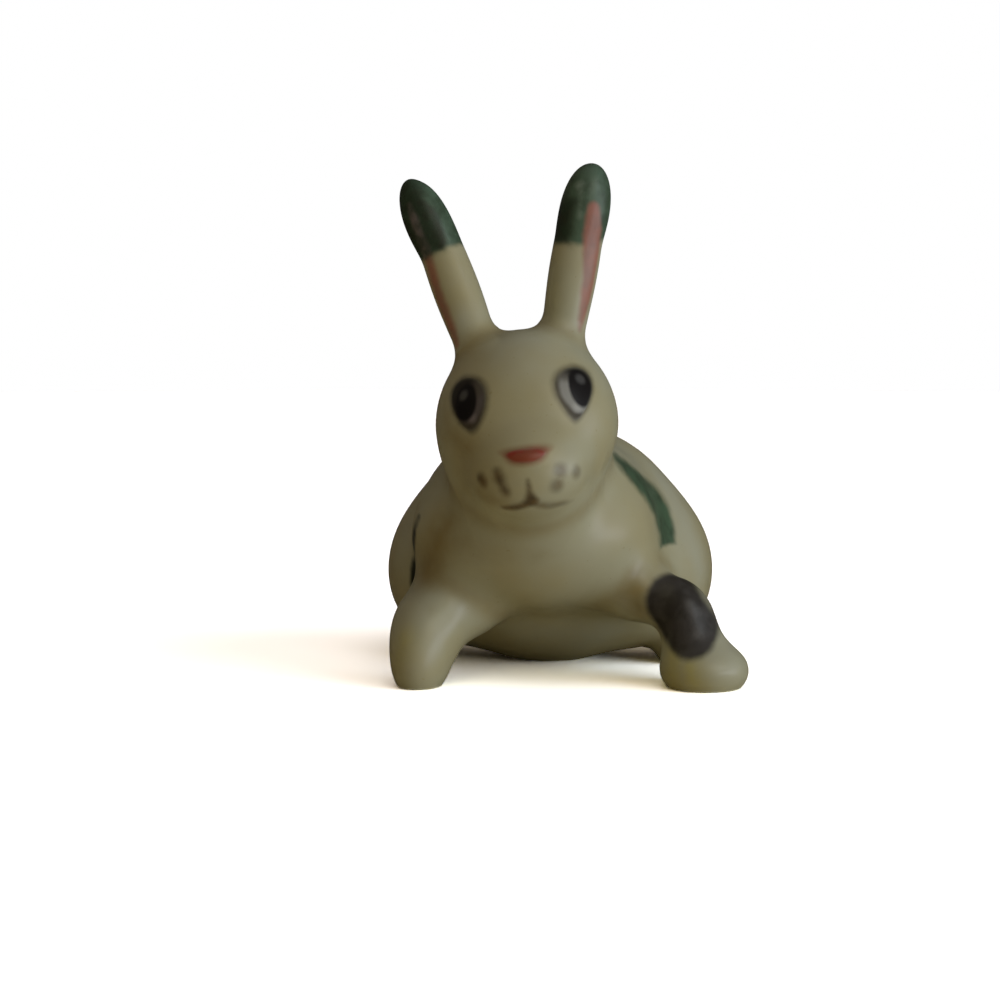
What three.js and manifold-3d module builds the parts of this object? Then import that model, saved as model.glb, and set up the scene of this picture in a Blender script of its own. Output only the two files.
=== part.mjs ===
// Glazed ceramic rabbit, lying on its belly with its head up and its front legs spread.
// Sizes in millimetres. +Z is up, the rabbit looks along -Y and its left side is +X.
// Each clay part is a smooth melt of a few ellipsoid lumps, as a modeller rolls and presses them.
// A part that is luted to another one is cut to that one's form, with the slip's thickness between them.
import * as THREE from 'three';
import { mergeVertices } from 'three/addons/utils/BufferGeometryUtils.js';
import Module from 'manifold-3d';

const wasm = await Module();
wasm.setup();

// Joints between the fired parts
const slipGap = 0.25; // between two luted clay parts
const enamelGap = 0.2; // round and under a dab of enamel

// Barrel of the body
const barrelWidth = 17.2;
const barrelLength = 17.2;
const barrelHeight = 15;
const barrelPitch = 3; // degrees, belly lower at the front
const bellyFlat = 0.3; // how much of the belly is ground off to a sole
const barrelBack = 2.3; // from the origin of the layout to the barrel's middle

// Chest and neck
const chestWidth = 13.6;
const chestLength = 10.6;
const chestHeight = 8.2;
const chestAhead = 8.6; // chest's middle ahead of the barrel's
const chestRise = 1; // chest's middle above the barrel's
const neckWidth = 9.2;
const neckLength = 8.4;
const neckHeight = 6.4;
const neckBack = 0.9; // neck's middle behind the chest's
const neckRise = 2.9; // neck's middle above the chest's
const bodyMelt = 4.5; // how softly barrel, chest and neck run together
const bellyMelt = 1.8; // the same low down, where the chest overhangs the belly
const bellyMeltTop = 3.2; // height where the belly's softness begins to grow
const bodyMeltFrom = 6.2; // height where it has grown to the body's

// Head
const headAhead = 3.3; // head's middle ahead of the chest's
const headRise = 7.1; // head's middle above the chest's
const headOffside = 0.15; // head's middle to the left of the body's
const headNod = 4; // degrees, nose down
const headRoll = 5.9; // degrees, crown leaning to the rabbit's right
const headTurn = 5; // degrees, looking to the rabbit's left of straight ahead
const skullWidth = 9.85;
const skullLength = 9.4;
const skullHeight = 9.2;
const skullBack = 0.4;
const skullRise = 0.75;
const cheekWidth = 5.2;
const cheekLength = 6;
const cheekHeight = 5.2;
const cheekSpacing = 4; // from one cheek's middle to the other's
const cheekAhead = 0.9;
const cheekDrop = 0.9;
const jawWidth = 5.2;
const jawLength = 5.2;
const jawHeight = 4.15;
const jawAhead = 3;
const jawDrop = 2.85;
const lipWidth = 2.8;
const lipLength = 2.2;
const lipHeight = 2.6;
const lipSpacing = 1.9;
const lipAhead = 4.3;
const lipDrop = 3.1;
const headMelt = 2.4;

// Ears: a stem, a blade and a blunt tip, leaning out from the crown. The tip's middle is measured
// from the stem's middle, up along the ear, and then flares out from the ear's own line.
const earSpread = 15; // degrees out from the head's own upright
const earLean = 5; // degrees back from it
const earRootSpacing = 5.8;
const earRootRise = 0.95; // stem's middle above the crown
const earRootBack = 0.5; // behind the skull's middle
const earStemWidth = 2.6;
const earStemLength = 7;
const earBladeLength = 7.3;
const earThickness = 2.1;
const earBladeUp = 4.15; // blade's middle from the stem's middle, along the ear
const earTipLength = 4.1;
const earTipThickness = 1.9;
const earLeft = { bladeWidth: 2.75, tipWidth: 2.25, tipUp: 6.45, tipFlare: 0.15 };
const earRight = { bladeWidth: 2.55, tipWidth: 2.05, tipUp: 6.6, tipFlare: 0.35 };
const earMelt = 1.2;

// Front legs: places are measured from the side and the middle of the chest
const shoulderLeft = { out: -0.2, ahead: -0.1, drop: 3.8, width: 4.2, length: 4.8, height: 4 };
const shinLeft = { share: 0.69, rise: 1.7, width: 3.3, length: 3.6, height: 4.9, tilt: -20 };
const pawLeft = { out: 3.7, ahead: 2.3, width: 4.8, length: 5.2, height: 3.5, turn: 30 };
const shoulderRight = { out: -2, ahead: 1, drop: 4.2, width: 5.4, length: 5.6, height: 3.8 };
const shinRight = { share: 0.75, rise: 1.3, width: 4, length: 4.2, height: 4, tilt: 0 };
const pawRight = { out: -0.8, ahead: 4.1, width: 3.2, length: 4.2, height: 3.9, turn: 0 };
const pawSole = 0.75; // how much of a paw is ground off flat
const legMelt = 1.6;

// Haunches and hind feet
const haunchWidth = 6.2;
const haunchLength = 11.4;
const haunchHeight = 7.5;
const haunchInset = 1.75; // haunch's middle in from the barrel's side
const haunchBack = 0.9; // behind the barrel's middle
const haunchClear = 1.35; // above the ground
const haunchPitch = 12;
const haunchSkirt = 3.5; // the haunch runs out softly on the barrel
const heelWidth = 2.6;
const heelLength = 8;
const footHeight = 2.8;
const footSole = 0.4;
const toeWidth = 2.8;
const toeLength = 3.6;
const toeHeight = 3;
const toeAhead = 3;
const toeOut = 0.1;
const footOut = 1.3; // foot's middle outside the haunch's
const footBack = 0.9; // foot's middle behind the haunch's
const footMelt = 1.2;

// Tail
const tailWidth = 4.4;
const tailLength = 3.8;
const tailHeight = 4.4;
const tailOut = 0.1; // tail's middle outside the barrel's end
const tailDrop = 0.9; // below the barrel's middle

// Enamel dabs of the face
const eyeWidth = 2.6;
const eyeHeight = 3.5;
const eyeTaper = 0.55; // narrower at the foot
const eyeSlant = 0.28; // foot nearer to the nose than the top
const eyeSpacing = 5.84;
const eyeRise = 1.25;
const eyeAhead = 3.5;
const eyeTurn = 36; // degrees, facing outward
const noseWidth = 2.5;
const noseHeight = 0.95;
const noseTaper = 0.3;
const noseDrop = 1.95;
const noseAhead = 5.75;
const dabProud = 0.14; // above the clay
const dabDepth = 0.35; // into the clay

// How finely each form is faceted
const bodyFacets = 10;
const headFacets = 8;
const limbFacets = 6;
const smallFacets = 5;
const outlineSteps = 20;

// Glaze and enamel colours
const glaze = (color) => new THREE.MeshStandardMaterial({ color, roughness: 0.14, metalness: 0 });
const ivory = 0xe9e2c6;
const paleIvory = 0xece6cc;
const eyeBlack = 0x1b1a1a;
const noseRed = 0xb4553c;

// Radii from full sizes
const half = (width, length, height) => new THREE.Vector3(width, length, height).multiplyScalar(0.5);

// Turn about X, then Y, then Z, in degrees
function turned(x, y, z) {
  const [a, b, c] = [x, y, z].map(THREE.MathUtils.degToRad);
  return new THREE.Matrix4().makeRotationFromEuler(new THREE.Euler(a, b, c, 'ZYX'));
}

// One ellipsoid lump: its value is below zero inside, and close to a distance near its surface
function lump(at, radii, turn = new THREE.Matrix4()) {
  const unturn = turn.clone().invert();
  const q = new THREE.Vector3();
  return (p) => {
    q.copy(p).sub(at).applyMatrix4(unturn).divide(radii);
    const reach = q.length();
    const slope = q.divide(radii).length();
    return (reach * (reach - 1)) / Math.max(slope, 1e-9);
  };
}

// Smooth lower envelope of two values, rounding the crease between them
function melt(a, b, softness) {
  const overlap = Math.max(softness - Math.abs(a - b), 0) / softness;
  return Math.min(a, b) - (overlap * overlap * softness) / 4;
}

// Lumps pressed together into one form
function clay(lumps, softness) {
  return (p) => lumps.slice(1).reduce((sum, next) => melt(sum, next(p), softness), lumps[0](p));
}

// A form with a fillet of slip, reaching no further than that over the form that it is luted to
function luted(form, carrier, skirt) {
  return (p) => {
    const own = form(p);
    return Math.max(melt(own, carrier(p), skirt), own - skirt);
  };
}

// Closed skin of a form: a ball of directions, each followed out from a spine to where the form ends
function skin(form, middle, spine, facets, offset = 0) {
  const ball = new THREE.IcosahedronGeometry(1, facets);
  ball.deleteAttribute('normal');
  ball.deleteAttribute('uv');
  const geometry = mergeVertices(ball, 1e-5);
  const place = geometry.getAttribute('position');
  const axis = spine.clone().normalize();
  const way = new THREE.Vector3();
  const start = new THREE.Vector3();
  const point = new THREE.Vector3();
  const valueAt = (t) => form(point.copy(start).addScaledVector(way, t)) - offset;
  for (let i = 0; i < place.count; i += 1) {
    way.fromBufferAttribute(place, i).normalize();
    start.copy(middle).addScaledVector(spine, way.dot(axis));
    let near = 0;
    let far = 0.3;
    while (valueAt(far) < 0) {
      near = far;
      far += 0.3;
    }
    while (far - near > 1e-5) {
      const mid = (near + far) / 2;
      if (valueAt(mid) < 0) near = mid;
      else far = mid;
    }
    valueAt(near);
    place.setXYZ(i, point.x, point.y, point.z);
  }
  return geometry;
}

// A three.js geometry as a solid that can be joined and cut
function solid(geometry) {
  const bare = geometry.clone();
  bare.deleteAttribute('normal');
  bare.deleteAttribute('uv');
  const merged = mergeVertices(bare, 1e-5);
  return new wasm.Manifold(new wasm.Mesh({
    numProp: 3,
    vertProperties: Float32Array.from(merged.getAttribute('position').array),
    triVerts: Uint32Array.from(merged.index.array),
  }));
}

// A solid as a named mesh
function piece(name, body, color) {
  const { vertProperties, triVerts } = body.getMesh();
  const geometry = new THREE.BufferGeometry();
  geometry.setAttribute('position', new THREE.BufferAttribute(vertProperties, 3));
  geometry.setIndex(new THREE.BufferAttribute(triVerts, 1));
  geometry.computeVertexNormals();
  const mesh = new THREE.Mesh(geometry, glaze(color));
  mesh.name = name;
  return mesh;
}

// Everything below the ground plane, to cut the soles flat
const groundSize = 80;
const ground = solid(new THREE.BoxGeometry(groundSize, groundSize, groundSize)
  .translate(0, 0, -groundSize / 2));

// Body: the chest overhangs the belly with a firm lower edge, and runs out softly higher up
const barrelAt = new THREE.Vector3(0, barrelBack, barrelHeight / 2 - bellyFlat);
const chestAt = barrelAt.clone().add(new THREE.Vector3(0, -chestAhead, chestRise));
const neckAt = chestAt.clone().add(new THREE.Vector3(0, neckBack, neckRise));
const barrel = lump(barrelAt, half(barrelWidth, barrelLength, barrelHeight), turned(barrelPitch, 0, 0));
const chest = lump(chestAt, half(chestWidth, chestLength, chestHeight));
const neck = lump(neckAt, half(neckWidth, neckLength, neckHeight));
const torsoForm = (p) => {
  const risen = THREE.MathUtils.smoothstep(p.z, bellyMeltTop, bodyMeltFrom);
  const softness = THREE.MathUtils.lerp(bellyMelt, bodyMelt, risen);
  return melt(melt(barrel(p), chest(p), softness), neck(p), bodyMelt);
};
const torsoMiddle = barrelAt.clone().lerp(chestAt, 0.4);
const torsoSpine = barrelAt.clone().sub(chestAt).multiplyScalar(0.25);
const torsoSkin = (offset) => skin(torsoForm, torsoMiddle, torsoSpine, bodyFacets, offset);
const torsoSolid = solid(torsoSkin(0)).subtract(ground);
const torsoRoom = solid(torsoSkin(slipGap));

// Head frame, and the body's room in it
const head = new THREE.Group();
head.position.copy(chestAt).add(new THREE.Vector3(headOffside, -headAhead, headRise));
head.rotation.copy(new THREE.Euler().setFromRotationMatrix(turned(-headNod, -headRoll, headTurn)));
head.updateMatrix();
const torsoRoomFromHead = solid(torsoSkin(slipGap).applyMatrix4(head.matrix.clone().invert()));

// Head, its lower back hollowed to the neck and shoulders
const pairOf = (spacing, build) => [1, -1].map((side) => build((side * spacing) / 2));
const skullAt = new THREE.Vector3(0, skullBack, skullRise);
const headForm = clay([
  lump(skullAt, half(skullWidth, skullLength, skullHeight)),
  ...pairOf(cheekSpacing, (x) =>
    lump(new THREE.Vector3(x, -cheekAhead, -cheekDrop), half(cheekWidth, cheekLength, cheekHeight))),
  lump(new THREE.Vector3(0, -jawAhead, -jawDrop), half(jawWidth, jawLength, jawHeight)),
  ...pairOf(lipSpacing, (x) =>
    lump(new THREE.Vector3(x, -lipAhead, -lipDrop), half(lipWidth, lipLength, lipHeight))),
], headMelt);
const noSpine = new THREE.Vector3(); // for round forms
const headSkin = (offset) => solid(skin(headForm, skullAt, noSpine, headFacets, offset));
let headSolid = headSkin(0).subtract(torsoRoomFromHead);

// Ears: each tapered root sits in a dimple of the head
const crown = skullRise + skullHeight / 2;
for (const [side, name, ear] of [[1, 'ear_left', earLeft], [-1, 'ear_right', earRight]]) {
  const turn = turned(-earLean, side * earSpread, 0);
  const along = new THREE.Vector3(0, 0, 1).applyMatrix4(turn);
  const rootBack = skullBack + earRootBack;
  const stemAt = new THREE.Vector3((side * earRootSpacing) / 2, rootBack, crown + earRootRise);
  const bladeAt = stemAt.clone().addScaledVector(along, earBladeUp);
  const tipAt = stemAt.clone().addScaledVector(along, ear.tipUp);
  tipAt.x += side * ear.tipFlare;
  const form = clay([
    lump(stemAt, half(earStemWidth, earThickness, earStemLength), turn),
    lump(bladeAt, half(ear.bladeWidth, earThickness, earBladeLength), turn),
    lump(tipAt, half(ear.tipWidth, earTipThickness, earTipLength), turn),
  ], earMelt);
  const middle = stemAt.clone().lerp(bladeAt, 0.5);
  const spine = bladeAt.clone().sub(stemAt).multiplyScalar(0.9);
  const earSkin = (offset) => solid(skin(form, middle, spine, smallFacets, offset));
  headSolid = headSolid.subtract(earSkin(slipGap));
  head.add(piece(name, earSkin(0), paleIvory));
}

// Rounded outline, wider at the top than at the foot and slanting outward to the top
function dabOutline({ width, height, taper, slant }, grow) {
  const points = Array.from({ length: outlineSteps }, (_, i) => {
    const angle = (i / outlineSteps) * 2 * Math.PI;
    const y = (height / 2) * Math.sin(angle);
    const x = (width / 2) * Math.cos(angle) * (1 + taper * Math.sin(angle)) + slant * y;
    return new THREE.Vector2(x, y).addScaledVector(new THREE.Vector2(x, y).normalize(), grow);
  });
  return new THREE.Shape(points);
}

// Enamel dabs: what the outline cuts from a thin shell over the head's form
const punchReach = 3; // before and behind the dab's place on the face
const overHead = headSkin(dabProud);
const underDab = headSkin(-dabDepth);
const underRoom = headSkin(-dabDepth - enamelGap);
function dab(name, outline, at, facing, color) {
  const punch = (grow) => solid(new THREE.ExtrudeGeometry(dabOutline(outline, grow), {
    depth: 2 * punchReach,
    bevelEnabled: false,
  }).translate(0, 0, -punchReach).rotateX(Math.PI / 2).rotateZ(facing).translate(at.x, at.y, at.z));
  headSolid = headSolid.subtract(punch(enamelGap).subtract(underRoom));
  head.add(piece(name, punch(0).intersect(overHead).subtract(underDab), color));
}
for (const [side, name] of [[1, 'eye_enamel_left'], [-1, 'eye_enamel_right']]) {
  const eyeOutline = { width: eyeWidth, height: eyeHeight, taper: eyeTaper, slant: side * eyeSlant };
  const at = new THREE.Vector3((side * eyeSpacing) / 2, -eyeAhead, eyeRise);
  dab(name, eyeOutline, at, side * THREE.MathUtils.degToRad(eyeTurn), eyeBlack);
}
const noseOutline = { width: noseWidth, height: noseHeight, taper: noseTaper, slant: 0 };
dab('nose_enamel', noseOutline, new THREE.Vector3(0, -noseAhead, -noseDrop), 0, noseRed);
head.add(piece('head', headSolid, paleIvory));

// Front legs
function foreleg(name, side, shoulder, shin, paw) {
  const fromChest = ({ out, ahead }, z) =>
    new THREE.Vector3(side * (chestWidth / 2 + out), chestAt.y - ahead, z);
  const shoulderAt = fromChest(shoulder, chestAt.z - shoulder.drop);
  const pawAt = fromChest(paw, paw.height / 2 - pawSole);
  const shinAt = shoulderAt.clone().lerp(pawAt, shin.share);
  shinAt.z += shin.rise;
  const form = clay([
    lump(shoulderAt, half(shoulder.width, shoulder.length, shoulder.height)),
    lump(shinAt, half(shin.width, shin.length, shin.height), turned(0, shin.tilt, 0)),
    lump(pawAt, half(paw.width, paw.length, paw.height), turned(0, 0, paw.turn)),
  ], legMelt);
  const middle = shoulderAt.clone().add(pawAt).add(shinAt).divideScalar(3);
  const spine = shoulderAt.clone().sub(pawAt).multiplyScalar(0.4);
  const legSkin = (offset) => solid(skin(form, middle, spine, limbFacets, offset));
  return {
    leg: piece(name, legSkin(0).subtract(torsoRoom).subtract(ground), ivory),
    room: legSkin(slipGap),
  };
}
const forelegLeft = foreleg('foreleg_left', 1, shoulderLeft, shinLeft, pawLeft);
const forelegRight = foreleg('foreleg_right', -1, shoulderRight, shinRight, pawRight);

// Haunch, clear of the front leg, with the hind foot under it
function hindLeg(side, haunchName, footName, forelegRoom) {
  const haunchAt = new THREE.Vector3(
    side * (barrelWidth / 2 - haunchInset),
    barrelAt.y + haunchBack,
    haunchHeight / 2 + haunchClear,
  );
  const haunchForm = luted(
    lump(haunchAt, half(haunchWidth, haunchLength, haunchHeight), turned(haunchPitch, 0, 0)),
    torsoForm,
    haunchSkirt,
  );
  const haunchSkin = (offset) => solid(skin(haunchForm, haunchAt, noSpine, limbFacets, offset));
  const heelAt = haunchAt.clone().add(new THREE.Vector3(side * footOut, footBack, 0));
  heelAt.z = footHeight / 2 - footSole;
  const toeAt = heelAt.clone().add(new THREE.Vector3(side * toeOut, -toeAhead, 0));
  toeAt.z = toeHeight / 2 - footSole;
  const footForm = clay([
    lump(heelAt, half(heelWidth, heelLength, footHeight)),
    lump(toeAt, half(toeWidth, toeLength, toeHeight)),
  ], footMelt);
  const middle = heelAt.clone().lerp(toeAt, 0.4);
  const spine = heelAt.clone().sub(toeAt).multiplyScalar(0.6);
  const haunchSolid = haunchSkin(0).subtract(torsoRoom).subtract(forelegRoom).subtract(ground);
  const footSolid = solid(skin(footForm, middle, spine, smallFacets))
    .subtract(haunchSkin(slipGap)).subtract(torsoRoom).subtract(ground);
  return [piece(haunchName, haunchSolid, ivory), piece(footName, footSolid, ivory)];
}

// Tail
const tailAt = new THREE.Vector3(0, barrelAt.y + barrelLength / 2 + tailOut, barrelAt.z - tailDrop);
const tailForm = lump(tailAt, half(tailWidth, tailLength, tailHeight));
const tailSolid = solid(skin(tailForm, tailAt, noSpine, smallFacets)).subtract(torsoRoom);

// The whole figurine, its origin in the middle under the box that bounds it
const figurine = new THREE.Group();
figurine.add(
  head,
  piece('torso', torsoSolid, ivory),
  forelegLeft.leg,
  forelegRight.leg,
  ...hindLeg(1, 'haunch_left', 'hind_foot_left', forelegLeft.room),
  ...hindLeg(-1, 'haunch_right', 'hind_foot_right', forelegRight.room),
  piece('tail', tailSolid, paleIvory),
);
figurine.updateMatrixWorld(true);
const bounds = new THREE.Box3().setFromObject(figurine, true);
const middle = bounds.getCenter(new THREE.Vector3());
figurine.position.set(-middle.x, -middle.y, -bounds.min.z);

export default figurine;
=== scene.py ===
# Looks of the glazed ceramic rabbit: form, painted marks, glaze, light and camera.
# The forms are worked out in the layout's millimetres and moved to the frame's metres at the end.
# In the layout +Z is up, the rabbit looks along -Y and its left side is +X.
import math

import bmesh
import bpy
import numpy as np
from mathutils import Matrix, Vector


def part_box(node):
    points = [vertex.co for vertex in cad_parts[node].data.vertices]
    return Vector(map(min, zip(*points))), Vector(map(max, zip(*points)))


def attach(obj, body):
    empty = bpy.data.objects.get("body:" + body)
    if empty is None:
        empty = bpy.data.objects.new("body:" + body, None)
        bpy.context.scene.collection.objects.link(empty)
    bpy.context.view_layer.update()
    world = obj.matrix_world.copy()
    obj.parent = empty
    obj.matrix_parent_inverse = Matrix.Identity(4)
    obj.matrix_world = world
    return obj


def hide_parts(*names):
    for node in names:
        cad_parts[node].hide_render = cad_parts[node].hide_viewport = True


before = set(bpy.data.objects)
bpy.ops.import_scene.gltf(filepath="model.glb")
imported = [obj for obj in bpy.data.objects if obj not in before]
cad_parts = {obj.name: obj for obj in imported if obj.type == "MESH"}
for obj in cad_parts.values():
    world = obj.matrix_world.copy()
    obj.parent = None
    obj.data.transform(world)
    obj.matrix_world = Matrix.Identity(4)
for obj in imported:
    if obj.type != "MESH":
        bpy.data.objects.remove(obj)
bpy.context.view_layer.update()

MM = 0.001
SIDES = (("left", 1), ("right", -1))

# Layout's origin in the frame, from the tail ball, which is in the layout's middle plane
TAIL_AT = (0, 11, 6.3)
TAIL_SIZE = (4.4, 3.8, 4.4)
tail_low, tail_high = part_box("tail")
SHIFT = np.array((
    (tail_low.x + tail_high.x) / 2 / MM - TAIL_AT[0],
    tail_high.y / MM - TAIL_AT[1] - TAIL_SIZE[1] / 2,
    0,
))

# How softly lumps of one piece run together, and how softly each piece is luted to the rest
BODY_MELT = 4.5
BELLY_MELT = 1.8
BELLY_MELT_TOP = 3.2
BODY_MELT_FROM = 6.2
HEAD_MELT = 2.4
EAR_MELT = 1.2
LIMB_MELT = 1.6
FOOT_MELT = 1.2
LUTED = {"haunch": 3.2, "head": 2.0, "ear": 1.3, "foreleg": 2.4, "hind": 0.9, "tail": 1.2}

# Head's place in the layout
HEAD_AT = (0.15, -9.6, 15.3)
HEAD_TURN = (-4, -5.9, 5)

# Ears in the head's frame
EAR_TURN = (-5, 15)
EAR_ROOT = (2.9, 0.9, 6.3)
EAR_BLADE_UP = 4.15
EARS = {
    "left": dict(blade_width=2.75, tip_width=2.25, tip_up=6.45, tip_flare=0.15),
    "right": dict(blade_width=2.55, tip_width=2.0, tip_up=6.72, tip_flare=0.4),
}


def turned(x, y, z):
    """Matrix of a turn about X, then Y, then Z, in degrees."""
    (sx, sy, sz), (cx, cy, cz) = (wave(np.radians((x, y, z))) for wave in (np.sin, np.cos))
    about_x = np.array([[1, 0, 0], [0, cx, -sx], [0, sx, cx]])
    about_y = np.array([[cy, 0, sy], [0, 1, 0], [-sy, 0, cy]])
    about_z = np.array([[cz, -sz, 0], [sz, cz, 0], [0, 0, 1]])
    return about_z @ about_y @ about_x


def lump(at, size, turn=(0, 0, 0)):
    """One ellipsoid: its value is below zero inside, and close to a distance near its surface."""
    at, radii, matrix = np.array(at, float), np.array(size, float) / 2, turned(*turn)

    def value(p):
        q = (p - at) @ matrix / radii
        reach = np.linalg.norm(q, axis=1)
        slope = np.linalg.norm(q / radii, axis=1)
        return reach * (reach - 1) / np.maximum(slope, 1e-9)

    return value


def melt(a, b, softness):
    """Smooth lower envelope of two values, rounding the crease between them."""
    overlap = np.maximum(softness - np.abs(a - b), 0) / softness
    return np.minimum(a, b) - overlap**2 * softness / 4


def clay(lumps, softness, place=None):
    """Lumps pressed together into one form, in the layout or in a place's own frame."""

    def value(p):
        q = p if place is None else place(p)
        total = lumps[0](q)
        for more in lumps[1:]:
            total = melt(total, more(q), softness)
        return total

    return value


def grounded(form):
    """The same form, cut flat on the ground."""
    return lambda p: np.maximum(form(p), -p[:, 2])


head_matrix = turned(*HEAD_TURN)


def to_head(p):
    return (p - HEAD_AT) @ head_matrix


def from_head(q):
    return q @ head_matrix.T + HEAD_AT


def ear_place(side):
    return turned(EAR_TURN[0], side * EAR_TURN[1], 0), np.array(EAR_ROOT) * (side, 1, 1)


def to_ear(side):
    turn, root = ear_place(side)
    return lambda p: (to_head(p) - root) @ turn


def pair(x, y, z, size):
    return [lump((side * x, y, z), size) for _, side in SIDES]


def body(p):
    """Barrel, chest and neck: firm under the chest, where it overhangs the belly, and soft above."""
    risen = np.clip((p[:, 2] - BELLY_MELT_TOP) / (BODY_MELT_FROM - BELLY_MELT_TOP), 0, 1)
    softness = BELLY_MELT + (BODY_MELT - BELLY_MELT) * risen**2 * (3 - 2 * risen)
    barrel = lump((0, 2.3, 7.2), (17.2, 17.2, 15), (3, 0, 0))
    chest = lump((0, -6.3, 8.2), (13.6, 10.6, 8.2))
    neck = lump((0, -5.4, 11.1), (9.2, 8.4, 6.4))
    return melt(melt(barrel(p), chest(p), softness), neck(p), BODY_MELT)


# Every clay piece: its form, the middle and spine that its skin is drawn out from, and its fineness
forms = {
    "torso": grounded(body),
    "head": clay([
        lump((0, 0.4, 0.75), (9.85, 9.4, 9.2)),
        *pair(2, -0.9, -0.9, (5.2, 6, 5.2)),
        lump((0, -3, -2.85), (5.2, 5.2, 4.15)),
        *pair(0.95, -4.3, -3.1, (2.8, 2.2, 2.6)),
    ], HEAD_MELT, to_head),
    "foreleg_left": grounded(clay([
        lump((6.6, -6.2, 5), (4.2, 4.8, 3.2)),
        lump((9.29, -7.86, 3.75), (3.3, 3.6, 4.9), (0, -20, 0)),
        lump((10.35, -8.6, 1), (5.1, 5.2, 3.5), (0, 0, 30)),
    ], LIMB_MELT)),
    "foreleg_right": grounded(clay([
        lump((-4.8, -7.3, 4), (5.4, 5.6, 3.8)),
        lump((-5.7, -9.63, 3.2), (4, 4.2, 4)),
        lump((-6, -10.4, 1.2), (3.2, 4.2, 3.9)),
    ], LIMB_MELT)),
    "tail": lump(TAIL_AT, TAIL_SIZE),
}
skins = {
    "torso": ((0, -1.14, 7.6), (0, 2.15, -0.25), 7),
    "head": (from_head(np.array((0, 0.4, 0.75))), (0, 0, 0), 7),
    "foreleg_left": ((8.8, -7.55, 3.05), (-1.56, 0.96, 1.36), 6),
    "foreleg_right": ((-5.5, -9.11, 2.8), (0.48, 1.24, 1.12), 6),
    "tail": (TAIL_AT, (0, 0, 0), 5),
}
for name, side in SIDES:
    turn, root = ear_place(side)
    along = turn[:, 2] * EAR_BLADE_UP
    ear = EARS[name]
    tip_at = np.array((side * ear["tip_flare"], 0, 0)) @ turn + (0, 0, ear["tip_up"])
    forms[f"ear_{name}"] = clay([
        lump((0, 0, 0), (2.6, 2.1, 7)),
        lump((0, 0, EAR_BLADE_UP), (ear["blade_width"], 2.1, 7.3)),
        lump(tip_at, (ear["tip_width"], 1.9, 4.1)),
    ], EAR_MELT, to_ear(side))
    skins[f"ear_{name}"] = (from_head(root + along / 2), head_matrix @ along * 0.9, 6)
    haunch_at = (side * 6.85, 3.2, 5.1)
    forms[f"haunch_{name}"] = lump(haunch_at, (6.2, 11.4, 7.5), (4, 0, 0))
    skins[f"haunch_{name}"] = (haunch_at, (0, 0, 0), 6)
    heel_at, toe_at = np.array((side * 8.15, 4.1, 1)), np.array((side * 8.25, 1.1, 1.1))
    forms[f"hind_foot_{name}"] = grounded(clay([
        lump(heel_at, (2.6, 8, 2.8)),
        lump(toe_at, (2.8, 3.6, 3)),
    ], FOOT_MELT))
    skins[f"hind_foot_{name}"] = (
        heel_at * 0.6 + toe_at * 0.4, (heel_at - toe_at) * 0.6, 5,
    )

ORDER = ["torso", "haunch_left", "haunch_right"]
ORDER += [name for name in forms if name not in ORDER]
CHIN_LUTED = 3.4  # the chin runs out on the chest more softly than the head does at its sides
CHIN_FROM = -9.5
CHIN_BLEND = 2
STAY_NEAR = 1.8  # how far a piece may swell over its own form where it is luted
SINK = 1.0  # how fast a piece dips under its neighbour
FAR_OFF = max(LUTED.values()) + STAY_NEAR  # a piece further away than this has no part in a joint
SCOUT_FINENESS = 3  # of the coarse skin that finds a piece's neighbours
HALVINGS = 12  # steps that close in on the surface


def whole(values, p):
    """Surface of the clay with its slip joints, from the values of some pieces, in ORDER."""
    total = None
    for name in (name for name in ORDER if name in values):
        softness = LUTED.get(name.split("_")[0])
        if name == "head":
            front = np.clip((CHIN_FROM - p[:, 1]) / CHIN_BLEND, 0, 1)
            softness = softness + (CHIN_LUTED - softness) * front
        total = values[name] if total is None else melt(total, values[name], softness)
    return total


def share_of(own_name, nearby):
    """The part of the whole surface that belongs to one piece, closed under its neighbours."""

    def value(p):
        values = {name: forms[name](p) for name in nearby}
        own = values[own_name]
        others = np.min([values[name] for name in nearby if name != own_name], axis=0)
        return np.maximum(whole(values, p) + SINK * np.maximum(own - others, 0) ** 2, own - STAY_NEAR)

    return value


def drawn_out(value, starts, ways, step=0.4, farthest=14):
    """Points where the value first rises through zero along each way from its start."""
    near = np.zeros(len(starts))
    far = near + step
    open_ended = np.ones(len(starts), bool)
    while open_ended.any() and far.max() < farthest:
        inside = value(starts[open_ended] + ways[open_ended] * far[open_ended, None]) < 0
        going = np.flatnonzero(open_ended)[inside]
        open_ended[:] = False
        open_ended[going] = True
        near[going] = far[going]
        far[going] += step
    for _ in range(HALVINGS):
        middle = (near + far) / 2
        inside = value(starts + ways * middle[:, None]) < 0
        near, far = np.where(inside, middle, near), np.where(inside, far, middle)
    return starts + ways * near[:, None]


def normals_of(value, points, step=0.01):
    """Directions in which a value rises, so that pieces shade as one surface at their joints."""
    steps = np.eye(3) * step
    slope = np.stack([value(points + s) - value(points - s) for s in steps], axis=1)
    return slope / np.maximum(np.linalg.norm(slope, axis=1), 1e-9)[:, None]


def new_piece(name, points, faces):
    """A smooth mesh object from points in the layout's millimetres."""
    mesh = bpy.data.meshes.new(name)
    mesh.from_pydata(((points + SHIFT) * MM).tolist(), [], faces)
    mesh.polygons.foreach_set("use_smooth", [True] * len(mesh.polygons))
    mesh.update()
    piece = bpy.data.objects.new(name, mesh)
    bpy.context.scene.collection.objects.link(piece)
    return piece


def keep_on(piece, name, values):
    """Keeps one number for each vertex, for the materials to read."""
    layer = piece.data.attributes.new(name, "FLOAT", "POINT")
    layer.data.foreach_set("value", np.asarray(values, np.float32))


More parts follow.
